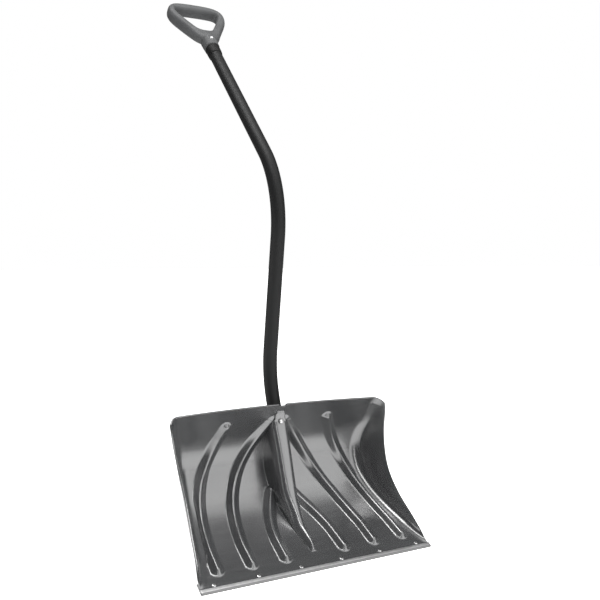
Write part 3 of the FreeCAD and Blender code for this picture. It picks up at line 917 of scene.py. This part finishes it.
def rivets(material):
    """Rivets along the strip: button heads in front, tails all but flush with the strip behind."""
    axis = foot_normal()
    profile = [(0, HEAD_GAP)] + button_head(RIVET_HEAD_RADIUS, RIVET_HEAD_HEIGHT, RIVET_FLANGE)
    parts = []
    for x in rivet_places():
        head = at_foot(x, RIVET_S, BLADE_THICKNESS / 2)
        tail = at_foot(x, RIVET_S, -FOLD_RADIUS)
        parts.append(lathe(profile, head, axis, RIVET_SIDES))
        parts.append(lathe(RIVET_TAIL_PROFILE, tail, -axis, RIVET_SIDES))
    points, faces = merged(parts)
    new_piece("strip_rivet_heads", points, faces, material, ["wear_strip_rivets"])


def shaft_sleeve(material):
    """Sleeve of the bent shaft: a tube, open at its ends, along the shaft's line."""
    line = shaft_line(SHAFT_FOOT, up_shaft(SHAFT_TOP_REACH))
    side = Vector((1, 0, 0))
    walls = []
    for radius in (SHAFT_RADIUS, CORE_RADIUS + SLEEVE_PLAY):
        rings = []
        for k, point in enumerate(line):
            before = line[max(k - 1, 0)]
            after = line[min(k + 1, len(line) - 1)]
            up = (after - before).normalized().cross(side)
            rings.append(ring_points(point, side, up, radius, radius, ROUND_SIDES))
        walls.append(rings)
    outer, inner = walls
    points = [p for ring in outer + inner[::-1] for p in ring]
    faces = grid_faces(2 * len(line), ROUND_SIDES, wrap_rows=True, wrap_columns=True)
    piece = new_piece("shaft_sleeve_tube", points, faces, material, ["shaft_sleeve"])
    round_edges(piece, SLEEVE_END_ROUND)


def in_grip(x, y, z):
    """Place of a point given in the grip's own frame."""
    rise = math.radians(GRIP_AXIS_ANGLE)
    along = Vector((0, math.cos(rise), math.sin(rise)))
    out = Vector((0, -math.sin(rise), math.cos(rise)))
    return up_shaft(NECK_REACH) + Vector((x, 0, 0)) + along * y + out * z


def grip_along():
    """Unit vector up the grip, along the shaft."""
    return in_grip(0, 1, 0) - in_grip(0, 0, 0)


def grip_out():
    """Unit vector out of the front of the grip."""
    return in_grip(0, 0, 1) - in_grip(0, 0, 0)


def grip_loop():
    """Points and faces of the loop: web, two arms and the cross bar, one closed tube."""
    stations = GRIP_LOOP + [(-row[0],) + row[1:] for row in GRIP_LOOP[-2:0:-1]]
    count = len(stations)
    padded = [(k, stations[k % count]) for k in range(-2, count + 3)]
    t = np.arange(LOOP_STEPS) * count / LOOP_STEPS
    points = []
    for here, there in zip(between(padded, t), between(padded, t + LOOP_AHEAD)):
        x, y, half_thickness, half_depth, z = here
        along = Vector(there[:2] - here[:2]).normalized()
        side = Vector((along.y, -along.x))
        across = Vector((half_thickness, 0))
        deep = Vector((0, half_depth))
        section = ring_points(Vector((0, 0)), across, deep, 1, 1, LOOP_SIDES, GRIP_FULLNESS)
        points += [in_grip(x + side.x * p.x, y + side.y * p.x, z + p.y) for p in section]
    return points, grid_faces(LOOP_STEPS, LOOP_SIDES, wrap_rows=True, wrap_columns=True)


def melted(piece):
    """Mesh of a piece whose overlapping shapes are joined and eased into one skin."""
    remesh = piece.modifiers.new("melt", "REMESH")
    remesh.mode = "VOXEL"
    remesh.voxel_size = GRIP_VOXEL * MM
    ease = piece.modifiers.new("ease", "SMOOTH")
    ease.factor = GRIP_EASE
    ease.iterations = GRIP_EASE_TIMES
    evaluated = piece.evaluated_get(bpy.context.evaluated_depsgraph_get())
    return bpy.data.meshes.new_from_object(evaluated)


def screw_dish(points):
    """How far each point of the grip sinks into the dish round its screw."""
    out = np.array(grip_out())
    from_screw = points - np.array(in_grip(0, GRIP_SCREW_Y, 0))
    height = from_screw @ out
    away = np.linalg.norm(from_screw - height[:, None] * out, axis=1)
    rim = smooth((away - GRIP_SCREW_HEAD / 2) / SCREW_DISH_EDGE)
    return (SCREW_DISH * (1 - rim) * (height > 0))[:, None] * out


def d_grip(material):
    """The grip: loop and bored neck melted into one smooth moulding, with a dish for its screw."""
    neck = lathe(NECK_PROFILE, in_grip(0, 0, 0), grip_along(), ROUND_SIDES)
    points, faces = merged([grip_loop(), neck])
    rough = new_piece("grip_rough", points, faces, material)
    mesh = melted(rough)
    bpy.data.objects.remove(rough)
    points = np.array([vertex.co[:] for vertex in mesh.vertices]) / MM
    faces = [tuple(face.vertices) for face in mesh.polygons]
    new_piece("grip_moulding", points - screw_dish(points), faces, material, ["d_grip"])


def collar(material):
    """Ring under the grip: a bead at its top, a groove and a rounded foot."""
    profile = COLLAR_PROFILE + COLLAR_PROFILE[:1]
    points, faces = lathe(profile, in_grip(0, 0, 0), grip_along(), ROUND_SIDES)
    new_piece("grip_collar_ring", points, faces, material, ["grip_collar"])


def fastener_head(seat, out, radius, height, recess, shank, length):
    """Points and faces of a low domed head with a cross recess, on a plain shank."""
    side = Vector((1, 0, 0))
    up = out.cross(side)
    turns = [2 * math.pi * k / HEAD_SPOKES for k in range(HEAD_SPOKES)]
    points = [seat + out * (height - recess)]
    for i in range(1, HEAD_RINGS + 1):
        share = i / HEAD_RINGS
        dome = math.sqrt(max(1 - share ** HEAD_DOME_POWER, 0))
        rise = height * (HEAD_RIM + (1 - HEAD_RIM) * dome)
        for turn in turns:
            u = share * math.cos(turn)
            v = share * math.sin(turn)
            arms = max(1 - smooth((abs(w) - CROSS_HALF_WIDTH) / CROSS_EDGE) for w in (u, v))
            depth = recess * arms * (1 - smooth((share - CROSS_REACH) / CROSS_END))
            points.append(seat + side * (u * radius) + up * (v * radius) + out * (rise - depth))
    faces = [(0, 1 + k, 1 + (k + 1) % HEAD_SPOKES) for k in range(HEAD_SPOKES)]
    skirt = [(radius * HEAD_RIM_INSET, HEAD_GAP), (shank, HEAD_GAP), (shank, -length)]
    for reach, rise in skirt:
        for turn in turns:
            spoke = side * math.cos(turn) + up * math.sin(turn)
            points.append(seat + spoke * reach + out * rise)
    faces += grid_faces(HEAD_RINGS + len(skirt), HEAD_SPOKES, start=1, wrap_columns=True)
    last = len(points) - HEAD_SPOKES
    faces += [(last + k, last + (k + 1) % HEAD_SPOKES, len(points)) for k in range(HEAD_SPOKES)]
    points.append(seat - out * length)
    return points, faces


def grip_screw(material):
    """Screw in the dish of the grip's neck."""
    seat = in_grip(0, GRIP_SCREW_Y, NECK_RADIUS - SCREW_DISH)
    points, faces = fastener_head(
        seat,
        grip_out(),
        radius=GRIP_SCREW_HEAD / 2,
        height=GRIP_SCREW_HEAD_HEIGHT,
        recess=GRIP_SCREW_RECESS,
        shank=GRIP_SCREW_SHANK,
        length=GRIP_SCREW_LENGTH,
    )
    new_piece("grip_screw_headed", points, faces, material, ["grip_screw"])


def socket_bolt(material):
    """Bolt through the socket and the end of the shaft."""
    out = socket_front()
    points, faces = fastener_head(
        bolt_centre() + out * BOLT_SEAT,
        out,
        radius=BOLT_HEAD / 2,
        height=BOLT_HEAD_HEIGHT,
        recess=BOLT_RECESS,
        shank=BOLT_SHANK,
        length=BOLT_SEAT + SHAFT_RADIUS + BOLT_TAIL,
    )
    new_piece("socket_bolt_headed", points, faces, material, ["socket_bolt"])


def dress(node, material):
    """Give a node that keeps its CAD shape its material."""
    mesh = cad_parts[node].data
    mesh.materials.clear()
    mesh.materials.append(material)


# --- Studio ----------------------------------------------------------------------------------

def area_light(name, place, target, size, power):
    """Soft rectangular light that faces a target; power in watts."""
    data = bpy.data.lights.new(name, "AREA")
    data.shape = "RECTANGLE"
    data.size, data.size_y = size
    data.energy = power
    light = bpy.data.objects.new(name, data)
    bpy.context.scene.collection.objects.link(light)
    light.location = place
    light.rotation_euler = (Vector(target) - Vector(place)).to_track_quat("-Z", "Y").to_euler()


def surroundings():
    """Light of the surroundings: a wide pale arch in front on the right, dim elsewhere, white when seen."""
    world = bpy.data.worlds.new("studio")
    bpy.context.scene.world = world
    nodes = Nodes(world, "Background")
    nodes.surface(Color=WHITE)
    parts = nodes.add("ShaderNodeSeparateXYZ")
    nodes.join(nodes.add("ShaderNodeTexCoord"), "Generated", parts, 0)
    lit = nodes.product([nodes.step(parts, *edge) for edge in SKY_EDGES])
    nodes.join(nodes.spread(lit, 0, DIM, PALE), 0, nodes.shader, "Strength")
    seen = nodes.add("ShaderNodeBackground", Color=WHITE)
    mix = nodes.add("ShaderNodeMixShader")
    nodes.join(nodes.add("ShaderNodeLightPath"), "Is Camera Ray", mix, "Fac")
    nodes.join(nodes.shader, 0, mix, 1)
    nodes.join(seen, 0, mix, 2)
    nodes.join(mix, 0, nodes.tree.nodes["World Output"], "Surface")


def floor_material():
    """Pale floor that glows in front of the object and dimly elsewhere, and evenly to the camera."""
    material = bpy.data.materials.new("floor")
    nodes = Nodes(material)
    nodes.surface(Base_Color=grey(FLOOR_GREY), Roughness=FLOOR_ROUGHNESS, Emission_Color=WHITE)
    place = nodes.add("ShaderNodeTexCoord")
    steps = []
    for direction, start, end in FLOOR_EDGES:
        along = nodes.add("ShaderNodeVectorMath", operation="DOT_PRODUCT")
        along.inputs[1].default_value = direction
        nodes.join(place, "Object", along, 0)
        steps.append(nodes.step(along, "Value", start, end))
    glow = nodes.spread(nodes.product(steps), 0, FLOOR_DIM, FLOOR_PALE)
    unseen, seen, mixed = MIX_NUMBERS
    mix = nodes.add("ShaderNodeMix", data_type="FLOAT")
    mix.inputs[seen].default_value = FLOOR_SEEN
    nodes.join(nodes.add("ShaderNodeLightPath"), "Is Camera Ray", mix, 0)
    nodes.join(glow, 0, mix, unseen)
    nodes.join(mix, mixed, nodes.shader, "Emission Strength")
    return material


def studio():
    """Pale lit floor, white surroundings and soft panels."""
    scene = bpy.context.scene
    scene.view_settings.view_transform = "Standard"
    scene.view_settings.look = "None"
    surroundings()
    mesh = bpy.data.meshes.new("floor")
    corners = [(x * FLOOR_REACH, y * FLOOR_REACH, 0) for x, y in [(-1, -1), (1, -1), (1, 1), (-1, 1)]]
    mesh.from_pydata(corners, [], [(0, 1, 2, 3)])
    mesh.materials.append(floor_material())
    floor = bpy.data.objects.new("floor", mesh)
    scene.collection.objects.link(floor)
    for light in LIGHTS:
        area_light(*light)


def camera():
    """Camera to the left of the front, at half the height of the object."""
    data = bpy.data.cameras.new("camera")
    data.lens = CAMERA_LENS
    data.sensor_width = CAMERA_SENSOR
    eye = bpy.data.objects.new("camera", data)
    bpy.context.scene.collection.objects.link(eye)
    eye.location = CAMERA_PLACE
    eye.rotation_euler = (math.radians(CAMERA_TILT), 0.0, math.radians(CAMERA_HEADING))
    bpy.context.scene.camera = eye


graphite = blade_plastic()
satin_black = sleeve_plastic()
black = collar_plastic()
mid_grey = grip_plastic()
# the strip's steel carries painted shade along its fold
strip_steel = metal(
    "strip_steel", tone=(0.42, 0.54), rough=(0.42, 0.5), stretch=(0.05, 1.0, 1.0), spangle=220.0, fold_shade=True,
)
rivet_metal = metal(
    "rivet_metal", tone=(0.38, 0.48), rough=(0.2, 0.3), stretch=(1.0, 1.0, 1.0), spangle=900.0,
)
core_steel = metal(
    "core_steel", tone=(0.4, 0.55), rough=(0.35, 0.5), stretch=(1.0, 1.0, 0.05), spangle=300.0,
)
fastener_steel = metal(
    "fastener_steel", tone=(0.5, 0.62), rough=(0.22, 0.32), stretch=(1.0, 1.0, 1.0), spangle=700.0,
)

blade(graphite)
wear_strip(strip_steel)
rivets(rivet_metal)
shaft_sleeve(satin_black)
d_grip(mid_grey)
collar(black)
grip_screw(fastener_steel)
socket_bolt(fastener_steel)

dress("shaft_core", core_steel)
dress("shaft_end_plug", black)
dress("socket_washer", fastener_steel)
dress("socket_nut", fastener_steel)

studio()
camera()
